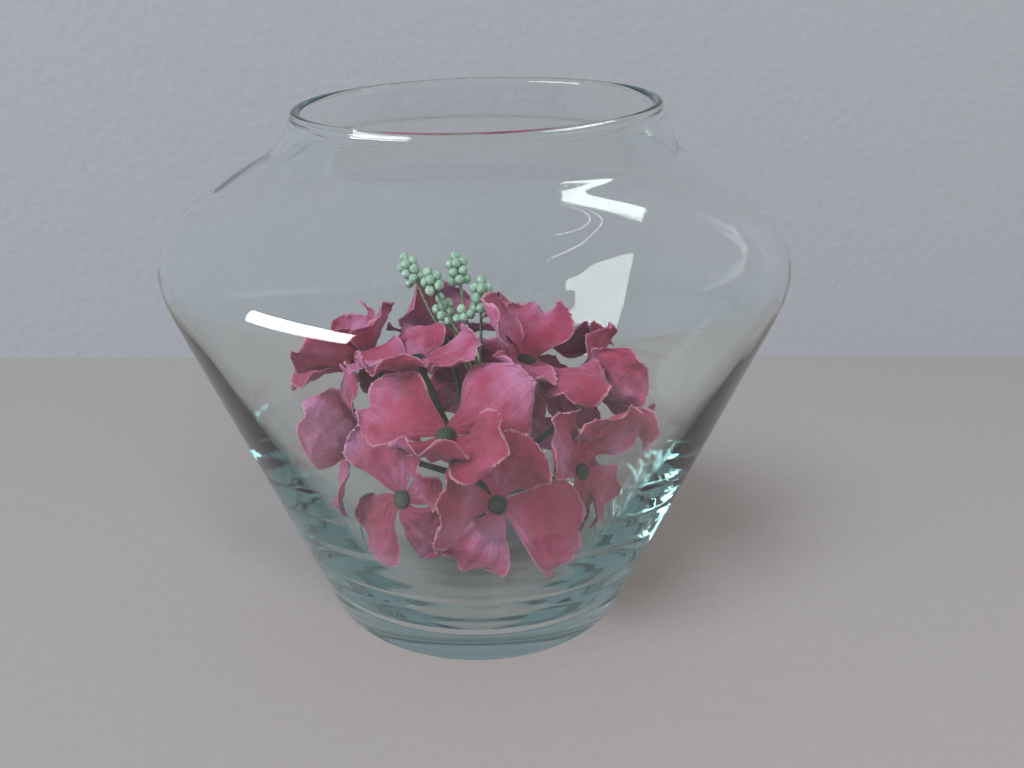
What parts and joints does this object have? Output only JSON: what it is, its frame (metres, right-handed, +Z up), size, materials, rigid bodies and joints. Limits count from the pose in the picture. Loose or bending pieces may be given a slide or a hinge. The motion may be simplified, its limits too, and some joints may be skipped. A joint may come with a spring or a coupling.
{
  "type": "bowl vase with cloth flowers",
  "caption": "Clear glass bowl vase with a sloping shoulder and short neck, holding a lift-out head of cloth hydrangea florets and a pull-out pick of berry clusters.",
  "frame": {"origin": "centre of the vase's foot, on the surface that it stands on", "axes": "+Z up along the vase's axis, -Y towards the camera of the picture, +X to its right"},
  "size_m": [0.2054, 0.2054, 0.178],
  "materials": {
    "clear_glass": "fire-polished clear glass, faintly aqua where it is thick",
    "steel_wire": "plain drawn wire",
    "stem_plastic": "moulded, dark green",
    "petal_cloth": "woven polyester, dusty rose with lighter frayed edges",
    "centre_plastic": "moulded, dark green",
    "stem_tape": "waxed crepe tape, green",
    "berry_wire": "brown lacquered wire",
    "berry_foam": "painted foam, pale mint"
  },
  "bodies": {
    "vase": {"glass_vase": "clear_glass"},
    "flower_head": {"stem_wire": "steel_wire", "stem_sleeve": "stem_plastic", "spray_lower": "stem_plastic", "spray_middle": "stem_plastic", "spray_top": "stem_plastic", "floret_01": "petal_cloth", "floret_02": "petal_cloth", "floret_03": "petal_cloth", "floret_04": "petal_cloth", "floret_05": "petal_cloth", "floret_06": "petal_cloth", "floret_07": "petal_cloth", "floret_08": "petal_cloth", "floret_09": "petal_cloth", "floret_10": "petal_cloth", "floret_11": "petal_cloth", "floret_12": "petal_cloth", "floret_13": "petal_cloth", "floret_14": "petal_cloth", "floret_caps": "centre_plastic"},
    "berry_pick": {"berry_tape": "stem_tape", "berry_stem_1": "berry_wire", "berry_stem_2": "berry_wire", "berry_stem_3": "berry_wire", "berry_stem_4": "berry_wire", "berry_stem_5": "berry_wire", "berry_stem_6": "berry_wire", "berries_1": "berry_foam", "berries_2": "berry_foam", "berries_3": "berry_foam", "berries_4": "berry_foam", "berries_5": "berry_foam", "berries_6": "berry_foam"}
  },
  "joints": [
    {"name": "head_lift", "type": "slide", "parent": "vase", "child": "flower_head", "axis": [0, 0, 1], "range_m": [0, 0.18], "deforming": ["floret_02", "floret_04", "floret_05", "floret_06", "floret_09", "floret_10"]},
    {"name": "pick_pull", "type": "slide", "parent": "flower_head", "child": "berry_pick", "axis": [0, 0, 1], "range_m": [0, 0.07], "deforming": ["floret_03"]}
  ]
}
